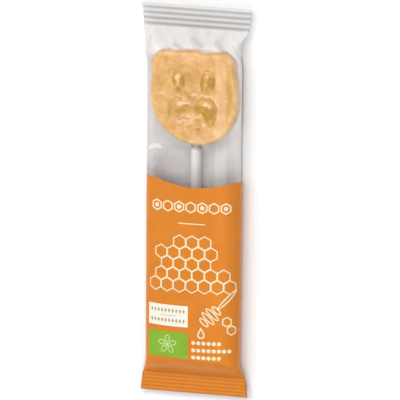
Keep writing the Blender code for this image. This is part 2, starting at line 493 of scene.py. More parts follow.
def add_noise(tree, scale, detail, stretch=(1.0, 1.0, 1.0)):
    """Add object-space noise, its scale in waves per metre."""
    place = add_node(tree, "ShaderNodeTexCoord").outputs["Object"]
    place = add_node(tree, "ShaderNodeMapping", Vector=place, Scale=stretch)
    return add_node(tree, "ShaderNodeTexNoise", Vector=place, Scale=scale, Detail=detail)


def add_ramp(tree, value, low, high, low_at=0.3, high_at=0.7):
    """Add a ramp from one colour to another driven by a value."""
    ramp = add_node(tree, "ShaderNodeValToRGB", Fac=value)
    ends = zip(ramp.color_ramp.elements, (low, high), (low_at, high_at))
    for element, colour, position in ends:
        element.position = position
        element.color = (*colour, 1)
    return ramp


def add_layer(tree, name):
    """Add the colours painted on a mesh's points under a name."""
    layer = add_node(tree, "ShaderNodeVertexColor")
    layer.layer_name = name
    return layer


def add_bump(tree, height, shader, distance):
    """Add a bump of a height in metres to a shader."""
    bump = add_node(tree, "ShaderNodeBump", Height=height, Distance=distance)
    set_inputs(tree, shader, Normal=bump)


def add_product(tree, first, second):
    """Multiply two colours and return the result."""
    product = tree.nodes.new("ShaderNodeMix")
    product.data_type = "RGBA"
    product.blend_type = "MULTIPLY"
    set_inputs(tree, product, Factor=1.0, A=first, B=second)
    return product.outputs["Result"]


def clear_film_material():
    """Clear packing film: see-through, with a milky haze and a sharp gloss.

    The mesh's layer "film" gives the share of haze, of grey and of gloss at each point; part of the
    haze is painted light and part of the grey painted shade.
    """
    material, tree, haze = new_material("clear_film")
    set_inputs(tree, haze, Base_Color=(0.95, 0.94, 0.935, 1), Roughness=0.5)
    set_inputs(tree, haze, Specular_IOR_Level=0.0)
    shares = add_node(tree, "ShaderNodeSeparateColor", Color=add_layer(tree, "film")).outputs
    clear, grey = (0.99, 0.99, 0.99), (0.49, 0.475, 0.455)
    tint = add_ramp(tree, shares["Green"], clear, grey, 0, 1)
    open_film = add_node(tree, "ShaderNodeBsdfTransparent", Color=tint)
    gloss = add_node(tree, "ShaderNodeBsdfGlossy", Roughness=0.07, Color=(1, 1, 1, 1))
    facing = add_node(tree, "ShaderNodeLayerWeight", Blend=0.5).outputs["Facing"]
    steep = add_node(tree, "ShaderNodeMath", facing, 5.0)
    steep.operation = "POWER"
    mirror = add_node(tree, "ShaderNodeMapRange", Value=steep, To_Min=0.034, To_Max=0.4)
    gloss_share = add_node(tree, "ShaderNodeMath", mirror, shares["Blue"])
    gloss_share.operation = "MULTIPLY"
    add_bump(tree, add_noise(tree, 260.0, 2.0), gloss, FILM_BUMP)
    let_through = add_node(tree, "ShaderNodeBsdfTranslucent", Color=(0.95, 0.94, 0.94, 1))
    milky = add_node(tree, "ShaderNodeMixShader", 0.33, haze, let_through)
    hazy = add_node(tree, "ShaderNodeMixShader", shares["Red"], open_film, milky)
    glossy = add_node(tree, "ShaderNodeMixShader", gloss_share, hazy, gloss)
    set_inputs(tree, tree.nodes["Material Output"], Surface=glossy)
    return material


def ink_material(name, low, high, sheen, painted=False):
    """Printed film: a mottled ink colour whose sheen takes on the ink's own tint.

    Where it is painted, the mesh's layer "ink" deepens the colour at each point, which paints shade
    on the crimped seal.
    """
    material, tree, shader = new_material(name)
    ink = add_ramp(tree, add_noise(tree, 160.0, 4.0), low, high)
    if painted:
        ink = add_product(tree, ink, add_layer(tree, "ink"))
    set_inputs(tree, shader, Base_Color=ink, Roughness=0.3, IOR=1.45)
    set_inputs(tree, shader, Specular_IOR_Level=0.65, Specular_Tint=(*sheen, 1))
    add_bump(tree, add_noise(tree, 260.0, 2.0), shader, FILM_BUMP)
    return material


def candy_material():
    """Hard honey candy: translucent and glossy, with small bubbles and cloudy patches.

    The mesh's layer "tint" deepens or pales the colour at each point; much of the paling is painted
    highlight on the face and painted light on the rim.
    """
    material, tree, shader = new_material("honey_candy")
    clouds = add_noise(tree, 330.0, 5.0)
    clouds = add_ramp(tree, clouds, (0.80, 0.449, 0.147), (0.965, 0.628, 0.279))
    grain = add_noise(tree, 1500.0, 2.0)
    grain = add_ramp(tree, grain, (0.92, 0.88, 0.80), (1.0, 1.0, 1.0), 0.35, 0.6)
    mixed = add_product(tree, clouds, grain)
    mixed = add_product(tree, mixed, add_layer(tree, "tint"))
    set_inputs(tree, shader, Base_Color=mixed, Roughness=0.36, IOR=1.5, Subsurface_Weight=0.8)
    set_inputs(tree, shader, Subsurface_Radius=(1.0, 0.7, 0.42), Subsurface_Scale=0.0028)
    add_bump(tree, add_noise(tree, 800.0, 3.0), shader, CANDY_BUMP)
    return material


def stick_material():
    """White moulded plastic with a faint satin grain along the stick."""
    material, tree, shader = new_material("stick_white")
    grain = add_noise(tree, 900.0, 2.0, (1.0, 0.05, 1.0))
    colour = add_ramp(tree, grain, (0.76, 0.745, 0.735), (0.83, 0.815, 0.805))
    set_inputs(tree, shader, Base_Color=colour, Roughness=0.35)
    return material


# Inks: name, two colours between which it varies, and the tint of its sheen
INKS = (
    ("cream", (0.86, 0.74, 0.49), (0.90, 0.78, 0.53), (1, 0.87, 0.6)),
    ("white", (0.86, 0.83, 0.72), (0.90, 0.87, 0.76), (1, 0.98, 0.9)),
    ("green", (0.215, 0.42, 0.036), (0.25, 0.455, 0.045), (0.55, 1, 0.15)),
    ("pale_green", (0.55, 0.72, 0.30), (0.61, 0.76, 0.34), (0.8, 1, 0.5)),
    ("brown", (0.42, 0.34, 0.20), (0.46, 0.37, 0.22), (1, 0.8, 0.5)),
)
ORANGE = ((0.655, 0.215, 0.031), (0.715, 0.238, 0.035), (1, 0.34, 0.06))

# The materials under the names of their slots
MATERIALS = {"clear_film": clear_film_material()}
MATERIALS["printed_film"] = ink_material("orange_print", *ORANGE, painted=True)
for colour, *look in INKS:
    MATERIALS["print_" + colour] = ink_material(colour + "_print", *look)
MATERIALS["honey_candy"] = candy_material()
MATERIALS["stick"] = stick_material()


# The film pieces

# The clear film's shares of haze, of grey and of gloss, by place. Haze beside the candy, on the
# right flank, below the window seal and on the seal's ridges is partly painted light; grey in the
# seal's grooves, along the right edge and near the print's edge is painted shade
HAZE_FRONT = 0.03
HAZE_BACK = 0.06
HAZE_SIDE = 0.10
HAZE_UNDER = 0.30
PAINTED_LIGHT_RIGHT_FLANK = 0.20
PAINTED_LIGHT_BY_CANDY = 0.74
HAZE_FLARE = 0.88
PAINTED_FACET_LIGHT = 0.08
HAZE_MOTTLE = 0.16
HAZE_GROOVES = 0.28
HAZE_RIDGES = 0.56
GREY_FRONT = 0.05
GREY_BACK = 0.27
GREY_SIDE = 0.35
GREY_GROOVES = 0.66
GREY_RIDGES = 0.24
PAINTED_SHADE_RIGHT = 0.80
PAINTED_SHADE_RIGHT_LOW = 0.25
PAINTED_SHADE_BY_PRINT = 0.27
GLOSS_BACK = 0.2
GLOSS_FLARE = 0.15

# Milky streaks in the film, partly painted light: those beside the stick, under the chin and at the
# candy's notches lighten shade, and the two thin ones below the candy paint glints. Start and end
# as girth and length, half width and haze
STREAKS_AND_PAINTED_LIGHT = (
    (-16.5, 62.5, -15.5, 59, 0.8, -0.3), (-11.4, 61, -8.8, 59, 0.28, 0.28),
    (-7.5, 64.5, -1.5, 59, 1.6, 0.2), (0.5, 62.5, 4, 60.5, 1.4, -0.34),
    (-6, 60.5, -1, 58.8, 1, -0.26), (8, 62.5, 9, 59, 0.35, 0.16),
    (9.5, 62, 13.5, 58, 1.1, -0.34), (14, 64, 17, 60, 0.9, 0.25),
    (15, 59, 16.6, 57, 0.45, 0.16), (16.2, 61, 18.4, 57.4, 0.45, -0.3),
    (-18.5, 60.5, -17.5, 56, 0.6, 0.12), (5.6, 23.5, 5.6, 10, 1.9, 0.2),
    (-6.8, 20.6, -3.6, 20.6, 1.4, 0.15), (4.8, 58.9, 7, 58.6, 0.7, 0.36),
    (-6.4, 59.1, -5, 59.1, 0.7, 0.16), (-6.4, 13.4, -4.2, 14, 0.18, 0.35),
    (-3.9, 13.2, -2.4, 13.9, 0.16, 0.3),
)
# A painted glint on a crease, laid on as milky haze: outline as girth and length, and haze
PAINTED_GLINT_OUTLINE = (
    (-18.8, 19.1), (-17.4, 21.2), (-15.6, 22.8), (-14.4, 23.1), (-13.0, 22.9),
    (-11.8, 22.3), (-10.6, 21.5), (-12.4, 21.35), (-14.4, 21.3), (-16.6, 20.4),
)
PAINTED_GLINT_HAZE = 0.9


def off_the_candy(u, v):
    """Return 0 on film over the candy and 1 beside it, along the photo's line of sight."""
    place = table_lookup(FILM_TABLE, u, v)
    over = (place[:, 2] - CANDY_MIDDLE_Z) / 4
    reaches_in = 1.2 - 0.5 * ease_in(signed_girth(u), 10, 5)
    depth = depth_in_candy(place[:, 0] - over, place[:, 1] - over, ())
    return ease_out(depth, reaches_in, 1.4)


def film_look(u, v):
    """Return the clear film's share of haze, of grey and of gloss at a place, with painted light in
    the haze and painted shade in the grey.
    """
    signed = signed_girth(u)
    past_side = np.abs(signed) - GIRTH / 4
    from_side = np.abs(past_side)
    front = ease_out(past_side, 2, 4)
    off_candy = off_the_candy(u, v)
    near_seal = ease_in(v, 54.5, 4) * off_candy
    above_candy = ease_in(v, 54, 3)
    in_seal = ease_in(v, WINDOW_SEAL_Y - 0.4, 0.8)
    ridge = ridge_phase(v)

    haze = between(HAZE_BACK, HAZE_FRONT, front) + HAZE_SIDE * ease_out(from_side, 6, 6)
    under_side = ease_in(past_side, 0, 2) * ease_out(past_side, 9, 4)
    haze += HAZE_UNDER * under_side * (1 + smooth_step(signed))
    # Haze beside the candy's right side is painted light over the candy's shade, and haze on the
    # right flank is painted light too
    painted_light_by_candy = PAINTED_LIGHT_BY_CANDY * ease_in(v, 16, 16) * ease_out(v, 60, 6) * off_candy
    on_right = ease_in(signed, 11, 5) * ease_out(signed, GIRTH / 4 - 0.4, 0.9)
    haze += (PAINTED_LIGHT_RIGHT_FLANK * ease_in(signed, 16, 3.5) + painted_light_by_candy) * on_right
    # Below the window seal the film is milky, partly its own haze and partly painted light that
    # reaches to the candy's outline, with painted lighter and darker facets
    haze += near_seal * (HAZE_FLARE + PAINTED_FACET_LIGHT * (facet_painted_light(signed, v) - 0.5))
    haze += near_seal * HAZE_MOTTLE * smooth_noise(signed + 0.6 * v, 0.6 * v, 2.2, 10)
    # Streaks, some of them painted light over shade and painted glints
    for *line, width, share in STREAKS_AND_PAINTED_LIGHT:
        haze += share * np.exp(-((line_distance(signed, v, line) / width) ** 2))
    # In the window seal the ridges get painted highlight as haze
    haze = between(haze, between(HAZE_GROOVES, HAZE_RIDGES, ridge), in_seal)
    # The painted glint
    inside = inside_outline(np.stack([signed, v], axis=1), PAINTED_GLINT_OUTLINE)
    haze = np.where(inside, haze + PAINTED_GLINT_HAZE, haze)

    # The back's right half is less grey, painted light over the stick's shadow
    grey_back = GREY_BACK - 0.07 * ease_in(signed, 24, 4)
    grey = between(grey_back, GREY_FRONT, front) + GREY_SIDE * ease_out(from_side, 3, 3)
    # A grey line along the right edge is painted shade, where the contact shadow falls
    painted_shade_line = smooth_step(1.2 - np.abs(signed - GIRTH / 4 - 1.2) / 2.2)
    grey += (PAINTED_SHADE_RIGHT + PAINTED_SHADE_RIGHT_LOW * ease_out(v, 34, 10)) * painted_shade_line
    # Grey near the print's edge is painted shade
    grey += PAINTED_SHADE_BY_PRINT * ease_out(v - print_edge(u), 7, 7)
    # and the grooves get painted shade as grey
    grey = between(grey, between(GREY_GROOVES, GREY_RIDGES, ridge), in_seal)

    gloss = between(between(GLOSS_BACK, 1, front), GLOSS_FLARE, above_candy)
    return np.stack([np.clip(haze, 0, 1), np.clip(grey, 0, 1), gloss], axis=1)


def level_rows(girths, lengths):
    """Return rows of a film grid that run straight across the tube."""
    return [np.full_like(girths, length) for length in lengths]


def film_piece(name, slot, girths, rows):
    """Make a stretch of the tube from the lengths of its rows at the same girths."""
    points = np.concatenate([on_film(girths, row) for row in rows])
    return new_piece(name, points, grid_faces(len(rows), len(girths), closed=True), slot)


def make_window_film():
    """The clear part of the tube, from the print's edge to the end of its seal."""
    girths = np.linspace(0, GIRTH, 2 * LOOP_COLUMNS, endpoint=False)
    edge = print_edge(girths)
    straight_from = PRINT_EDGE_Y + PRINT_EDGE_RISE + PRINT_EDGE_LEFT_RISE + 2
    rows = [between(edge, straight_from, step / 8) for step in range(8)]
    for start, end, step in ((straight_from, 26, 0.3), (26, 50, 0.6), (50, WINDOW_SEAL_Y, 0.25)):
        rows += level_rows(girths, np.arange(start, end, step))
    rows += level_rows(girths, FILM_ROWS[FILM_ROWS > WINDOW_SEAL_Y])
    film = film_piece("window_film", "clear_film", girths, rows)
    look = film_look(np.tile(girths, len(rows)), np.concatenate(rows))
    paint_points(film, "film", look)
    return film


# How much deeper the ink is painted where the film is crimped, as painted shade on the seal
SEAL_PAINTED_SHADE = np.array((0.09, 0.06, 0.0))


def make_printed_film():
    """The orange part of the tube, from its seal to the print's edge."""
    girths = np.linspace(0, GIRTH, LOOP_COLUMNS, endpoint=False)
    edge = print_edge(girths)
    straight_to = PRINT_EDGE_Y - PRINT_EDGE_BACK_DROP - 2
    rows = level_rows(girths, FILM_ROWS[FILM_ROWS < straight_to])
    rows += [between(straight_to, edge, step / 12) for step in range(1, 13)]
    film = film_piece("printed_film", "printed_film", girths, rows)
    # The crimped seal's ink is deepened as painted shade
    in_seal = ease_out(np.concatenate(rows), PRINT_SEAL_Y + 0.3, 0.6)
    paint_points(film, "ink", 1 - in_seal[:, None] * SEAL_PAINTED_SHADE)
    return film


def flap_points(start, end, ring):
    """Return a stretch of the flap's points, rings of X and Z, and how many rings it has."""
    rows = [start, *[y for y in FILM_ROWS if start < y < end], end]
    rises = [table_lookup(FILM_TABLE, GIRTH / 2, y)[2] - FILM_FLOOR for y in rows]
    return [(*askew(x, y), rise + z) for y, rise in zip(rows, rises) for x, z in ring], len(rows)


def make_printed_flap(start, end):
    """The printed stretch of the back seal, two films thick."""
    ring = rectangle(FLAP_ROOT_X, FLAP_TOP_Z, FLAP_EDGE_X, FLAP_BOTTOM_Z)
    points, row_count = flap_points(start, end, ring)
    faces = grid_faces(row_count, len(ring), closed=True)
    faces.append((3, 2, 1, 0))
    faces.append(tuple(range(len(points) - 4, len(points))))
    flap = new_piece("back_seal_printed", points, faces, "printed_film", smooth=False)
    paint_points(flap, "ink", np.ones((len(points), 3)))


def make_clear_flap(start, end):
    """The clear stretch of the back seal, fused so well that it hardly shows."""
    middle_z = (FLAP_TOP_Z + FLAP_BOTTOM_Z) / 2
    sides = ((FLAP_ROOT_X, middle_z), (FLAP_EDGE_X, middle_z))
    points, row_count = flap_points(start, end, sides)
    flap = new_piece("back_seal_clear", points, grid_faces(row_count, len(sides)), "clear_film")
    paint_points(flap, "film", np.tile([0.01, 0.0, 0.2], (len(points), 1)))


# The candy

def depth_in_candy(x, y, notches=NOTCHES):
    """Return how far a point lies inside the candy's outline, negative outside."""
    along = y - FACE_MIDDLE[1]
    above, below = np.maximum(along, 0), np.maximum(-along, 0)
    lean = CHIN_LEAN * below + CHIN_CURL * below**3 - FOREHEAD_LEAN * above
    across = np.abs(x - FACE_MIDDLE[0] - lean) / FACE_HALF_WIDTH
    up = across**FOREHEAD_ROUNDNESS + (above / FACE_ABOVE) ** FOREHEAD_ROUNDNESS
    down = across**CHIN_ROUNDNESS + (below / FACE_BELOW) ** CHIN_ROUNDNESS
    reach = np.where(along > 0, up ** (1 / FOREHEAD_ROUNDNESS), down ** (1 / CHIN_ROUNDNESS))
    depths = [(1 - reach) * FACE_HALF_WIDTH]
    depths += [radius - np.hypot(x - ear_x, y - ear_y) for ear_x, ear_y, radius in EARS]
    deepest = np.max(depths, axis=0)
    depth = deepest + EAR_BLEND * np.log(sum(np.exp((d - deepest) / EAR_BLEND) for d in depths))
    for notch_x, notch_y, radius in notches:
        depth = np.minimum(depth, np.hypot(x - notch_x, y - notch_y) - radius)
    return depth


# Raised parts of the face: middle X and Y, half width, half height, turn in degrees,
# and rise
FACE_DOMES = (
    (-5.4, 46.4, 2.3, 4.2, 8, 0.55), (5.6, 46.5, 2.6, 4.3, -6, 0.6),
    (-0.3, 41.8, 2.7, 1.6, -14, 0.4), (-5.9, 36.3, 3.9, 3.7, 4, 0.65),
    (-2, 37.6, 2.2, 2, -20, 0.6), (4.6, 37.6, 4.4, 3.3, 4, 0.65),
    (6.6, 33.6, 2.5, 3.9, -6, 0.65),
)
# Soft patches of colour: middle X and Y, half width, half height, turn in degrees, and
# share, above 0 for a deeper honey and below 0 for a paler one; the pale patches on the
# eyes, nose, muzzle, chin and upper right are painted highlights
FACE_PATCHES_AND_HIGHLIGHTS = (
    (-5.4, 46.3, 2, 3.9, 9, 0.45), (-3.9, 46.4, 0.9, 2, 8, 0.75),
    (-7.1, 47.4, 0.7, 1.7, 12, 0.6), (-5.2, 43.6, 1.3, 1.2, 0, 0.32),
    (-5.75, 48.5, 0.85, 0.95, 10, -1.6), (-5.3, 46.6, 0.5, 1.1, 8, -1.2),
    (5.7, 46.3, 2.4, 4.1, -6, 0.62), (6.8, 47, 1.3, 2.1, -6, 0.7),
    (3.6, 46.2, 0.8, 2.3, -6, 0.65), (5.9, 48.7, 0.5, 0.45, 0, -1.6),
    (5, 45.9, 0.6, 0.8, 0, -0.8), (5.2, 43.4, 1.5, 1.1, 0, 0.1),
    (-0.6, 41.8, 2.2, 1.2, -14, 0.55), (-1.6, 41.5, 0.8, 0.5, 0, 0.35),
    (0.9, 42, 1.1, 0.4, -16, -1.3), (-6.4, 36.4, 3.4, 3.4, 4, 0.45),
    (-2.3, 36.9, 1.9, 1.6, -10, 0.45), (-1.7, 37.3, 1.2, 0.8, -15, 0.65),
    (-4.7, 35.6, 2.2, 1.2, 5, 0.5), (-8.4, 37.4, 1, 1.9, 0, 0.16),
    (-4.5, 38.5, 1.5, 0.85, 5, -1.5), (-2.1, 38.9, 1.5, 0.5, 8, -1.1),
    (4.5, 37.4, 4, 3, 4, 0.62), (6.6, 33.6, 2.2, 3.6, -8, 0.62),
    (5.9, 34.5, 1.8, 1.8, 0, 0.7), (8.1, 36.8, 0.9, 1.6, 0, 0.5),
    (2.3, 37.4, 1.5, 1.3, 0, 0.45), (5.5, 38.4, 1.2, 0.8, -8, -2.2),
    (2, 28.6, 0.8, 1.7, 0, 0.45), (1.9, 29.8, 0.4, 0.35, 0, -1),
    (3.9, 30.7, 0.6, 0.8, 0, -0.6), (8.6, 28.6, 2.2, 1.4, 25, -0.25),
    (-0.4, 48.9, 3.6, 1.9, 0, 0.3), (-0.5, 45.4, 0.8, 2.4, 0, 0.14),
    (-9.5, 49.6, 2.6, 1.6, 0, 0.16), (-12.6, 46, 1.9, 3.6, 0, 0.24),
    (-9.6, 54, 3.2, 1.6, 20, 0.1), (-11, 36, 1.6, 4, 12, 0.08),
    (14.2, 50.6, 1.8, 2.8, 0, 0.3), (13.6, 43, 2.1, 7.5, 1, 0.38),
    (13.2, 36, 1.2, 4, 4, 0.16), (14.3, 55.3, 1.9, 1, -20, -0.5),
    (-0.2, 55.2, 4.2, 1.7, 0, -0.4), (13.3, 39.9, 0.4, 0.35, 0, -0.8),
    (13.3, 41.8, 0.4, 0.3, 0, -0.6), (-11.7, 41.8, 0.8, 0.6, 0, -0.4),
)
# Thin lines: X and Y of each point, half width, share of honey as above, and rise; the pale lines
# along raised ridges and over the right eye are painted highlights
FACE_LINES_AND_HIGHLIGHTS = (
    ((-6, 50.4, -7.4, 49.2, -7.6, 47.4, -7, 45.2, -5.6, 43), 0.4, 0.4, -0.1),
    ((-5.4, 50.3, -4, 48.8, -3.3, 46.8, -3.6, 44.4), 0.35, 0.3, -0.1),
    ((4.6, 50.4, 3.5, 48.4, 3.1, 45.8, 3.6, 43.4), 0.4, 0.45, -0.1),
    ((7.9, 49.2, 8.2, 47, 7.6, 44.6), 0.4, 0.4, -0.1),
    ((4.7, 50.2, 6.3, 50.1, 7.7, 49), 0.3, -0.9, 0.1),
    (
        (
            -3.1, 42, -1.4, 42.9, 0.5, 43.3, 1.7, 42.6,
            2.3, 41.1, 0.5, 40.3, -1.4, 40.7, -3.1, 42,
        ),
        0.32, 0.45, -0.1,
    ),
    ((-5.7, 41.2, -4.5, 40.7, -3.3, 40.4), 0.35, -0.6, 0.15),
    ((-12, 41.9, -9.3, 40.6, -7.7, 41), 0.4, -0.25, 0.15),
    ((-6.6, 39.9, -8.6, 38.9, -9.6, 36.3, -8.9, 33.6), 0.45, 0.3, -0.1),
    ((-5.1, 40.1, -4.3, 39.9), 0.3, 0.55, 0),
    ((1.6, 39.3, 3, 40.3, 4.9, 40.7, 6.8, 40.1, 8.4, 38.4, 9, 36.2), 0.42, 0.5, -0.12),
    ((0.5, 36.4, 2.4, 35.4, 4.3, 34.6, 4.9, 32.6, 6.4, 30.2), 0.4, 0.35, -0.12),
    ((9, 36.2, 8.7, 33, 7.4, 30.4), 0.4, 0.35, -0.12),
    ((1.9, 40.6, 3.7, 41.5, 6.5, 41.4, 8.2, 40.2, 9.6, 38), 0.45, -0.5, 0.25),
    ((-4.8, 33.4, -3.2, 33.8, -0.9, 33.3), 0.42, -0.6, 0.3),
    ((-5.7, 31.4, -3.5, 32.1, -0.7, 32.1, 0.6, 33.2), 0.42, -0.6, 0.3),
    ((-2.6, 30.9, 0, 31.3), 0.35, -0.35, 0.2),
    ((0.3, 34.5, 1.8, 33.8, 3.4, 34.1, 4.3, 33, 4.9, 31.3, 3.9, 30.4), 0.42, -0.55, 0.3),
    ((-4.8, 32.7, -1.9, 32.6), 0.3, 0.4, 0),
    ((-5.7, 30.5, -3.2, 30.4), 0.35, 0.3, 0),
    ((1, 32.9, 2.6, 32.2), 0.5, 0.25, 0),
    ((6, 29.3, 7.9, 30.2), 0.3, -0.5, 0.2),
    ((9, 31, 9.8, 29), 0.4, 0.25, 0),
    ((12.9, 53, 15.9, 54.6), 0.4, 0.25, -0.1),
    ((-4.2, 57.5, -4.8, 55.6, -4.5, 52), 0.5, 0.2, -0.1),
    ((4.8, 57, 6.9, 56.8), 0.5, 0.3, -0.1),
)
# Hollows: middle, depth and radius
FACE_HOLLOWS = ((1.9, 28.9, 0.4, 0.9), (0.2, 39.2, 0.3, 0.9))
HONEY_TINT = np.array((0.68, 0.60, 0.03))
PALE_AND_HIGHLIGHT_TINT = np.array((1.13, 1.34, 2.3))
MOAT_DEPTH = 0.1
WOBBLE = 0.42
BLEND = 0.12


def smooth_noise(x, y, size, seed):
    """Return smooth noise from -1 to 1 in cells of a size."""
    heights = np.random.default_rng(seed).uniform(-1, 1, (64, 64))
    column, row = np.floor(x / size).astype(int), np.floor(y / size).astype(int)
    over, up = smooth_step(x / size - column), smooth_step(y / size - row)
    first, right, above, last = grid_corners(heights, column, row)
    return between(between(first, right, over), between(above, last, over), up)


def noise_layers(x, y, *layers):
    """Return the sum of noises, each given as its share, its cells' size and its seed."""
    return sum(share * smooth_noise(x, y, size, seed) for share, size, seed in layers)


def ellipse_place(x, y, middle_x, middle_y, half_width, half_height, turn):
    """Return a place in an ellipse's own measure, 1 at its outline, as two values."""
    cosine, sine = direction(turn)
    across = ((x - middle_x) * cosine + (y - middle_y) * sine) / half_width
    along = ((y - middle_y) * cosine - (x - middle_x) * sine) / half_height
    return across, along


def line_distance(x, y, line):
    """Return the distance from points to a line, given as X and Y of each of its points."""
    nearest = np.full_like(x, 99.0)
    for x0, y0, x1, y1 in zip(line[::2], line[1::2], line[2::2], line[3::2]):
        run_x, run_y = x1 - x0, y1 - y0
        along = ((x - x0) * run_x + (y - y0) * run_y) / (run_x**2 + run_y**2)
        along = np.clip(along, 0, 1)
        nearest = np.minimum(nearest, np.hypot(x - x0 - along * run_x, y - y0 - along * run_y))
    return nearest


def candy_front(x, y, depth):
    """Return the front's height above the middle plane and its tint, whose pale parts are largely
    painted highlights and painted light.
    """
    height = candy_edge_height(depth)
    near_x = x + noise_layers(x, y, (WOBBLE, 1.7, 1), (WOBBLE / 2, 0.8, 2))
    near_y = y + noise_layers(x, y, (WOBBLE, 1.7, 3), (WOBBLE / 2, 0.8, 4))
    flat = np.ones_like(x)
    honey = np.zeros_like(x)
    moat = np.zeros_like(x)
    for *place, rise in FACE_DOMES:
        across, along = ellipse_place(near_x, near_y, *place)
        inside = np.clip(1 - across**2 - along**2, 0, 1)
        flat += np.expm1(rise * inside**1.15 / BLEND)
        ring = np.hypot(across, along) - 1.08
        moat = np.maximum(moat, np.exp(-((ring / 0.12) ** 2)))
    raised = BLEND * np.log(flat)
    raised -= MOAT_DEPTH * moat * (raised < 0.1)
    # Patches of deeper honey, and pale painted highlights
    for *place, share in FACE_PATCHES_AND_HIGHLIGHTS:
        across, along = ellipse_place(near_x, near_y, *place)
        honey += share * np.exp(-((across**2 + along**2) ** 1.6))
    for line, width, share, rise in FACE_LINES_AND_HIGHLIGHTS:
        near = np.exp(-((line_distance(near_x, near_y, line) / width) ** 2))
        raised += rise * near
        honey += share * near
    for middle_x, middle_y, deep, radius in FACE_HOLLOWS:
        near = np.exp(-(((x - middle_x) ** 2 + (y - middle_y) ** 2) / radius**2))
        raised -= deep * near
        honey += 0.2 * near
    # A pale line runs inside the rim; the rim is painted paler at the right and the top as painted
    # light, and elsewhere deeper
    rim_painted_light = np.maximum(ease_in(x, 8, 5), ease_in(y, 52, 4))
    honey -= 0.22 * np.exp(-((depth - 1.6) ** 2))
    honey += (0.3 - 1.3 * rim_painted_light) * ease_out(depth, 1.1, 1.1)
    honey += 0.10 + noise_layers(x, y, (0.07, 2.4, 6), (0.12, 0.8, 7))
    raised += noise_layers(x, y, (0.05, 3.0, 8), (0.03, 0.9, 9))
    deeper = np.clip(honey, 0, 1.0)[..., None] * (HONEY_TINT - 1)
    paler = np.clip(-honey, 0, 1)[..., None] * (PALE_AND_HIGHLIGHT_TINT - 1)
    return height + raised, 1 + deeper + paler


def candy_edge_height(depth, width=CANDY_EDGE):
    """Return the rounded edge's height from the middle plane, full beyond its width."""
    edge = np.clip(1 - depth / width, 0, 1)
    return CANDY_HALF_THICKNESS * (1 - edge**CANDY_EDGE_ROUNDNESS) ** (1 / CANDY_EDGE_ROUNDNESS)


CANDY_TURNS = 420
CANDY_RINGS = 100


def make_candy():
    """The bear's head: rings of points from its middle out to its outline."""
    turns = np.linspace(0, 2 * math.pi, CANDY_TURNS, endpoint=False)
    cosines, sines = np.cos(turns), np.sin(turns)
    middle_x, middle_y = FACE_MIDDLE
    low = np.zeros_like(turns)
    high = np.full_like(turns, 30.0)
    for _ in range(40):
        reach = (low + high) / 2
        inside = depth_in_candy(middle_x + reach * cosines, middle_y + reach * sines) > 0
        low, high = np.where(inside, reach, low), np.where(inside, high, reach)
    rings = 1 - (1 - np.linspace(0, 1, CANDY_RINGS)) ** 1.35
    rings[0] = 0.002
    x = middle_x + np.outer(rings, low * cosines)
    y = middle_y + np.outer(rings, low * sines)
    depth = np.maximum(depth_in_candy(x, y), 0)
    depth[-1] = 0
    front, tint = candy_front(x, y, depth)
    back = -candy_edge_height(depth, CANDY_BACK_EDGE)

    front_points = np.stack([x, y, CANDY_MIDDLE_Z + front], axis=2)
    back_points = np.stack([x, y, CANDY_MIDDLE_Z + back], axis=2)[-2::-1]
    points = np.concatenate([front_points, back_points]).reshape(-1, 3)
    faces = closed_faces(2 * CANDY_RINGS - 1, CANDY_TURNS)
    candy = new_piece("candy", points, faces, "honey_candy")
    # The back's rim is painted paler, as painted light
    back_rim_painted_light = 1 + ease_out(depth, 3, 2)[-2::-1, :, None] * (PALE_AND_HIGHLIGHT_TINT - 1)
    paint_points(candy, "tint", np.concatenate([tint.reshape(-1, 3), back_rim_painted_light.reshape(-1, 3)]))


def make_stick():
    """The moulded stick, with a softened end and a thinner neck that goes into the candy."""
    circle = [direction(9 * step) for step in range(40)]
    rows = [(STICK_END_Y, 0.55), (STICK_END_Y + 0.25, 0.85), (STICK_END_Y + 0.8, 1.0)]
    for step in range(9):
        cosine, sine = direction(90 * step / 8)
        rows.append((STICK_SHOULDER_Y + STICK_SHOULDER * sine, between(STICK_NECK, 1, cosine)))
    rows.append((STICK_TOP_Y, STICK_NECK))
    points = []
    for y, size in rows:
        radius = STICK_RADIUS * size
        points += [(STICK_X + radius * over, y, STICK_Z + radius * up) for over, up in circle]
    stick = new_piece("stick", points, closed_faces(len(rows), len(circle)), "stick")
    stick.data.set_sharp_from_angle(angle=math.radians(50))


# The print: each shape is a list of outlines, the first inked and the others left open

PRINT_LIFT = 0.035
PRINT_STEP = 0.6


def inside_outline(points, outline):
    """Return which points lie inside a closed outline."""
    inside = np.zeros(len(points), bool)
    u, v = points[:, 0], points[:, 1]
    for (u0, v0), (u1, v1) in zip(outline, [*outline[1:], outline[0]]):
        if v0 != v1:
            crossing = (v0 > v) != (v1 > v)
            inside ^= crossing & (u < (u1 - u0) * (v - v0) / (v1 - v0) + u0)
    return inside


def inside_shapes(points, shapes):
    """Return which points are inked."""
    inked = np.zeros(len(points), bool)
    for outer, *holes in shapes:
        inside = inside_outline(points, outer)
        for hole in holes:
            inside &= ~inside_outline(points, hole)
        inked |= inside
    return inked


def split_edges(outline, longest=0.7):
    """Add points along an outline's straight edges so that it follows the film."""
    points = []
    for start, end in zip(outline, [*outline[1:], outline[0]]):
        steps = max(1, math.ceil(math.dist(start, end) / longest))
        for step in range(steps):
            share = step / steps
            points.append(tuple(between(a, b, share) for a, b in zip(start, end)))
    return points


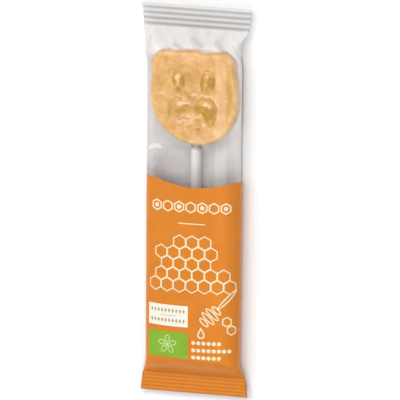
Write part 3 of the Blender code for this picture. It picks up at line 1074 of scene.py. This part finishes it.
def make_print(name, slot, shapes, lift=PRINT_LIFT):
    """Print shapes on the film, as triangles that follow its surface."""
    shapes = [[split_edges(outline) for outline in shape] for shape in shapes]
    places = []
    edges = []
    for outline in (outline for shape in shapes for outline in shape):
        first = len(places)
        places += outline
        edges += [(first + i, first + (i + 1) % len(outline)) for i in range(len(outline))]
    low, high = np.min(places, axis=0), np.max(places, axis=0)
    across = np.arange(low[0] + PRINT_STEP / 2, high[0], PRINT_STEP)
    along = np.arange(low[1] + PRINT_STEP / 2, high[1], PRINT_STEP)
    grid = np.stack(np.meshgrid(across, along), axis=2).reshape(-1, 2)
    places += [tuple(place) for place in grid[inside_shapes(grid, shapes)]]
    places = [Vector(place) for place in places]
    flat, _, triangles, _, _, _ = delaunay_2d_cdt(places, edges, [], 0, 1e-5)
    flat, triangles = np.array(flat), np.array(triangles)
    inked = inside_shapes(flat[triangles].mean(axis=1), shapes)
    used, faces = np.unique(triangles[inked], return_inverse=True)
    points = on_film(flat[used, 0], flat[used, 1], lift)
    new_piece(name, points, faces.reshape(-1, 3).tolist(), slot)


def ellipse(middle, half_width, half_height, count, turn=0.0):
    """Return an ellipse's outline, or with few points a regular figure's."""
    outline = []
    cosine, sine = direction(turn)
    for step in range(count):
        angle = 2 * math.pi * step / count
        u, v = half_width * math.cos(angle), half_height * math.sin(angle)
        outline.append((middle[0] + u * cosine - v * sine, middle[1] + u * sine + v * cosine))
    return outline


def ellipse_line(middle, half_width, half_height, stroke, count, turn):
    """Return an ellipse drawn as a line."""
    outer = ellipse(middle, half_width, half_height, count, turn)
    return [outer, ellipse(middle, half_width - stroke, half_height - stroke, count, turn)]


def cell(middle, radius, stroke):
    """Return a honeycomb cell drawn as a line."""
    return ellipse_line(middle, radius, radius, stroke, 6, 30)


def filled_cell(middle, radius):
    """Return a filled honeycomb cell."""
    return [ellipse(middle, radius, radius, 6, 30)]


def drop(middle, radius, height):
    """Return a drop's outline, its point up."""
    outline = []
    for step in range(32):
        turn = 2 * math.pi * step / 32
        u = radius * math.sin(turn) * math.sin(turn / 2) ** 1.5
        outline.append((middle[0] + u, middle[1] + height / 2 * math.cos(turn)))
    return outline


def title_shapes():
    """A row of comb cells, every other one with a filled middle."""
    shapes = []
    for index in range(7):
        middle = (-13.0 + index * 4.42, -0.1)
        shapes.append(cell(middle, 2.3, 0.62))
        if index % 2 == 0:
            shapes.append(filled_cell(middle, 0.95))
    return shapes


def comb_shapes():
    """A patch of honeycomb in five rows of uneven length."""
    radius = 2.78
    pitch = radius * math.sqrt(3)
    shapes = []
    for row, (first, count) in enumerate(((-1.0, 3), (-2.5, 5), (-2.0, 4), (-2.5, 6), (-3.0, 7))):
        for index in range(count):
            middle = (0.9 + (first + index) * pitch, -13.6 - row * 1.5 * radius)
            shapes.append(cell(middle, radius + 0.12, 0.5))
    return shapes


def dipper_shapes():
    """A honey dipper with its drop and two comb cells, drawn as lines."""
    head = np.array((8.0, -41.6))
    turn = 46
    axis = np.array(direction(turn))
    stroke = 0.55
    shapes = []
    for place, half in ((-3.3, 2.3), (-1.1, 3.3), (1.1, 3.3), (3.3, 2.3)):
        shapes.append(ellipse_line(head + place * axis, 1.05, half, stroke, 28, turn))
    shapes.append(ellipse_line(head + 9.3 * axis, 5.2, 0.95, stroke, 36, turn))
    shapes.append([drop((4.6, -48.2), 2.0, 4.6), drop((4.6, -48.5), 1.25, 2.9)])
    shapes.append(cell((14.3, -43.6), 2.1, stroke))
    shapes.append(cell((16.1, -46.9), 2.1, stroke))
    return shapes


def small_shapes():
    """Three short rows of small filled cells."""
    return [
        filled_cell((1.7 + index * 1.95, -52.2 - row * 2.85), 0.85)
        for row, count in enumerate((6, 8, 6))
        for index in range(count)
    ]


def flower_shapes():
    """A small flower of five petals, drawn as lines."""
    middle = (-8.45, -53.6)
    shapes = [[ellipse(middle, 0.6, 0.6, 12)]]
    for petal in range(5):
        turn = 90 + petal * 72
        cosine, sine = direction(turn)
        place = (middle[0] + 2.25 * cosine, middle[1] + 2.25 * sine)
        shapes.append(ellipse_line(place, 1.45, 1.0, 0.34, 20, turn))
    return shapes


def label_mark_shapes():
    """Two rows of small lozenges and a thin rule between them."""
    shapes = [[rectangle(-11.6, -42.38, -5.4, -42.22)]]
    for v in (-40.4, -44.2):
        for index in range(10):
            shapes.append([ellipse((-14.9 + index * 1.42, v), 0.5, 0.9, 4)])
    return shapes


def make_prints():
    """The front's print: cells, a rule, a drawing, two labels and small marks."""
    make_print("title_print", "print_cream", title_shapes())
    make_print("rule_print", "print_cream", [[rectangle(-4.4, -6.6, 5.8, -6.2)]])
    make_print("comb_print", "print_cream", comb_shapes())
    make_print("dipper_print", "print_cream", dipper_shapes())
    make_print("small_print", "print_cream", small_shapes())
    make_print("white_label", "print_white", [[rectangle(-16.5, -46.4, -0.5, -38.2)]])
    make_print("green_label", "print_green", [[rectangle(-16.5, -58.6, -0.5, -48.6)]])
    make_print("label_marks", "print_brown", label_mark_shapes(), 2 * PRINT_LIFT)
    make_print("flower_print", "print_pale_green", flower_shapes(), 2 * PRINT_LIFT)


# Stage, lights and camera

def make_floor():
    """A plain pale floor, six metres wide."""
    mesh = bpy.data.meshes.new("floor")
    corners = [(x, y, 0) for x, y in rectangle(-3.0, -3.0, 3.0, 3.0)]
    mesh.from_pydata(corners, [], [(0, 1, 2, 3)])
    material, tree, shader = new_material("floor")
    set_inputs(tree, shader, Base_Color=(0.92, 0.92, 0.92, 1), Roughness=0.9)
    set_inputs(tree, shader, Specular_IOR_Level=0.0)
    mesh.materials.append(material)
    add_object("floor", mesh)


def add_soft_box(name, right, up, distance, size, brightness):
    """Add a rectangular light that faces the middle of the sachet.

    It stands right and up degrees from straight above, towards +X and +Y. Its size is
    in metres, and its brightness is its radiance beside a white floor's.
    """
    light = bpy.data.lights.new(name, "AREA")
    light.shape = "RECTANGLE"
    light.size, light.size_y = size
    light.energy = brightness * math.pi * size[0] * size[1]
    away = Vector((math.tan(math.radians(right)), math.tan(math.radians(up)), 1)).normalized()
    across = (Vector((1, 0, 0)) - away * away.x).normalized()
    turn = Matrix((across, away.cross(across), away)).transposed().to_4x4()
    add_object(name, light).matrix_world = Matrix.Translation(away * distance) @ turn


WORLD_BRIGHTNESS = 0.33


def make_lights():
    """A box whose reflection runs down the film, three side lights and a sky."""
    add_soft_box("band_box", 12.6, -14.5, 1.45, (0.46, 0.60), 2.6)
    add_soft_box("far_box", 3.0, 42.0, 1.6, (0.9, 0.42), 7.8)
    add_soft_box("low_box", 4.0, -42.0, 1.6, (1.0, 0.5), 4.2)
    add_soft_box("left_box", -30.0, 22.0, 1.6, (0.7, 0.7), 5.8)
    world = bpy.data.worlds.new("surround")
    bpy.context.scene.world = world
    world.use_nodes = True
    tree = world.node_tree
    set_inputs(tree, tree.nodes["Background"], Color=(1, 1, 1, 1), Strength=WORLD_BRIGHTNESS)


def make_camera():
    """The photograph's camera, which looks down on the sachet."""
    (over, across), (level, up_by) = direction(CAMERA_YAW), direction(CAMERA_RISE)
    towards = Vector((across * level, up_by, over * level))
    right = Vector((over, 0, -across))
    up = towards.cross(right)
    cosine, sine = direction(CAMERA_ROLL)
    rolled_right = right * cosine - up * sine
    rolled_up = right * sine + up * cosine
    aim = right * CAMERA_AIM_RIGHT + up * CAMERA_AIM_UP
    data = bpy.data.cameras.new("camera")
    data.lens = CAMERA_LENS
    data.sensor_width = 36
    data.clip_start = 0.01
    camera = add_object("camera", data)
    turn = Matrix((rolled_right, rolled_up, towards)).transposed().to_4x4()
    camera.matrix_world = Matrix.Translation((aim + towards * CAMERA_DISTANCE) * MM) @ turn
    bpy.context.scene.camera = camera


make_camera()
window_film = make_window_film()
printed_film = make_printed_film()
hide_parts(NODE)
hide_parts(NODE)
back_edge = float(print_edge(GIRTH / 2))
make_clear_flap(back_edge, HALF_LENGTH)
make_printed_flap(-HALF_LENGTH, back_edge)
make_candy()
make_stick()
make_prints()
make_floor()
make_lights()
bpy.context.scene.view_settings.view_transform = "Standard"
